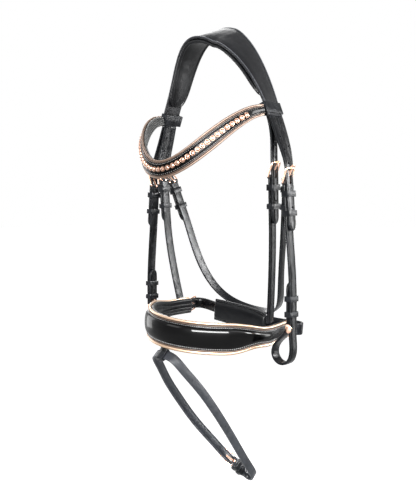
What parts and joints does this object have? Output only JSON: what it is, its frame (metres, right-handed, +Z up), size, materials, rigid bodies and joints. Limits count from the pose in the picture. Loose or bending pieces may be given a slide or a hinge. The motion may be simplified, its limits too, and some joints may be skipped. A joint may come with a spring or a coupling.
{
  "type": "snaffle bridle",
  "caption": "Black snaffle bridle with a wave browband set with stones, a padded patent noseband, a flash strap and a throatlash, all on rose-gold buckles.",
  "frame": {"origin": "middle of the headpiece's underside, where it lies on the poll", "axes": "+Z up; the horse faces -Y; +X is the horse's near (left) side"},
  "size_m": [0.2748, 0.2295, 0.6601],
  "materials": {
    "bridle_leather": "satin",
    "soft_leather": "matt",
    "patent_leather": "gloss",
    "metallic_piping": "metallic",
    "rose_gold": "polished",
    "stone": "faceted"
  },
  "bodies": {
    "headpiece": {"headpiece_strap": "bridle_leather", "headpiece_padding": "soft_leather", "browband_band": "bridle_leather", "browband_lining": "soft_leather", "browband_patent": "patent_leather", "browband_stones": "stone", "browband_top_piping": "metallic_piping", "browband_bottom_piping": "metallic_piping", "near_browband_loop": "bridle_leather", "off_browband_loop": "bridle_leather"},
    "noseband": {"noseband_band": "bridle_leather", "noseband_padding": "soft_leather", "noseband_swell": "patent_leather", "noseband_top_piping": "metallic_piping", "noseband_bottom_piping": "metallic_piping", "chin_pad": "soft_leather", "crank_strap": "bridle_leather", "crank_buckle": "rose_gold", "crank_ring": "rose_gold", "near_hanger": "bridle_leather", "off_hanger": "bridle_leather", "near_hanger_billet": "bridle_leather", "off_hanger_billet": "bridle_leather", "hanger_buckles": "rose_gold", "hanger_keepers": "bridle_leather", "flash_tab": "bridle_leather"},
    "throatlash": {"throatlash": "bridle_leather", "near_throat_billet": "bridle_leather", "off_throat_billet": "bridle_leather", "throat_buckles": "rose_gold", "throat_keepers": "bridle_leather"},
    "flash": {"flash_strap": "bridle_leather", "flash_loop": "bridle_leather", "flash_buckle": "rose_gold", "flash_keepers": "bridle_leather"},
    "crank_tongue": {"crank_tongue": "rose_gold"},
    "flash_tongue": {"flash_tongue": "rose_gold"},
    "near_cheek": {"near_cheek_billet": "bridle_leather", "near_cheekpiece": "bridle_leather", "near_cheek_keepers": "bridle_leather", "near_cheek_buckle": "rose_gold", "near_hook_stud": "rose_gold"},
    "off_cheek": {"off_cheek_billet": "bridle_leather", "off_cheekpiece": "bridle_leather", "off_cheek_keepers": "bridle_leather", "off_cheek_buckle": "rose_gold", "off_hook_stud": "rose_gold"},
    "near_cheek_tongue": {"near_cheek_tongue": "rose_gold"},
    "near_cheek_runner": {"near_cheek_runner": "bridle_leather"},
    "off_cheek_tongue": {"off_cheek_tongue": "rose_gold"},
    "off_cheek_runner": {"off_cheek_runner": "bridle_leather"},
    "near_hanger_tongue": {"near_hanger_tongue": "rose_gold"},
    "near_hanger_runner": {"near_hanger_runner": "bridle_leather"},
    "off_hanger_tongue": {"off_hanger_tongue": "rose_gold"},
    "off_hanger_runner": {"off_hanger_runner": "bridle_leather"},
    "near_throat_tongue": {"near_throat_tongue": "rose_gold"},
    "near_throat_runner": {"near_throat_runner": "bridle_leather"},
    "off_throat_tongue": {"off_throat_tongue": "rose_gold"},
    "off_throat_runner": {"off_throat_runner": "bridle_leather"}
  },
  "joints": [
    {"name": "near_cheek_swing", "type": "hinge", "parent": "headpiece", "child": "near_cheek", "pos_m": [0.10121, -0.009, -0.11696], "axis": [0, -1, 0], "range_deg": [0, 20]},
    {"name": "off_cheek_swing", "type": "hinge", "parent": "headpiece", "child": "off_cheek", "pos_m": [-0.10121, -0.009, -0.11696], "axis": [0, 1, 0], "range_deg": [0, 20]},
    {"name": "noseband_swing", "type": "hinge", "parent": "headpiece", "child": "noseband", "pos_m": [0, -0.009, -0.10794], "axis": [1, 0, 0], "range_deg": [-12, 0]},
    {"name": "throatlash_swing", "type": "hinge", "parent": "headpiece", "child": "throatlash", "pos_m": [0, 0.00512, -0.123], "axis": [1, 0, 0], "range_deg": [0, 12]},
    {"name": "flash_swing", "type": "hinge", "parent": "noseband", "child": "flash", "pos_m": [0, -0.1117, -0.417], "axis": [1, 0, 0], "range_deg": [-20, 15], "stiffness_Nm_per_rad": 0.8},
    {"name": "near_cheek_tongue_lift", "type": "hinge", "parent": "near_cheek", "child": "near_cheek_tongue", "pos_m": [0.124, -0.009, -0.206], "axis": [0, 1, 0], "range_deg": [0, 60]},
    {"name": "near_cheek_runner_slide", "type": "slide", "parent": "near_cheek", "child": "near_cheek_runner", "axis": [-0.0768, 0, 0.997], "range_m": [-0.01, 0.014]},
    {"name": "off_cheek_tongue_lift", "type": "hinge", "parent": "off_cheek", "child": "off_cheek_tongue", "pos_m": [-0.124, -0.009, -0.206], "axis": [0, -1, 0], "range_deg": [0, 60]},
    {"name": "off_cheek_runner_slide", "type": "slide", "parent": "off_cheek", "child": "off_cheek_runner", "axis": [0.0768, 0, 0.997], "range_m": [-0.01, 0.014]},
    {"name": "near_hanger_tongue_lift", "type": "hinge", "parent": "noseband", "child": "near_hanger_tongue", "pos_m": [0.1015, -0.011, -0.197], "axis": [0, 0.9982, 0.0599], "range_deg": [0, 35]},
    {"name": "near_hanger_runner_slide", "type": "slide", "parent": "noseband", "child": "near_hanger_runner", "axis": [0.0299, -0.0599, 0.9978], "range_m": [-0.01, 0.014]},
    {"name": "off_hanger_tongue_lift", "type": "hinge", "parent": "noseband", "child": "off_hanger_tongue", "pos_m": [-0.1015, -0.011, -0.197], "axis": [0, -0.9982, -0.0599], "range_deg": [0, 35]},
    {"name": "off_hanger_runner_slide", "type": "slide", "parent": "noseband", "child": "off_hanger_runner", "axis": [-0.0299, -0.0599, 0.9978], "range_m": [-0.01, 0.014]},
    {"name": "near_throat_tongue_lift", "type": "hinge", "parent": "throatlash", "child": "near_throat_tongue", "pos_m": [0.107, 0.013, -0.199], "axis": [0, 0.9719, 0.2353], "range_deg": [0, 60]},
    {"name": "near_throat_runner_slide", "type": "slide", "parent": "throatlash", "child": "near_throat_runner", "axis": [0.2196, -0.2296, 0.9482], "range_m": [-0.01, 0.014]},
    {"name": "off_throat_tongue_lift", "type": "hinge", "parent": "throatlash", "child": "off_throat_tongue", "pos_m": [-0.107, 0.013, -0.199], "axis": [0, -0.9719, -0.2353], "range_deg": [0, 60]},
    {"name": "off_throat_runner_slide", "type": "slide", "parent": "throatlash", "child": "off_throat_runner", "axis": [-0.2196, -0.2296, 0.9482], "range_m": [-0.01, 0.014]},
    {"name": "crank_tongue_lift", "type": "hinge", "parent": "noseband", "child": "crank_tongue", "pos_m": [-0.08906, 0.031, -0.38861], "axis": [0.0993, 0, 0.9951], "range_deg": [0, 60]},
    {"name": "flash_tongue_lift", "type": "hinge", "parent": "flash", "child": "flash_tongue", "pos_m": [-0.004, 0.03531, -0.61004], "axis": [0, -0.7749, -0.632], "range_deg": [0, 60]}
  ]
}
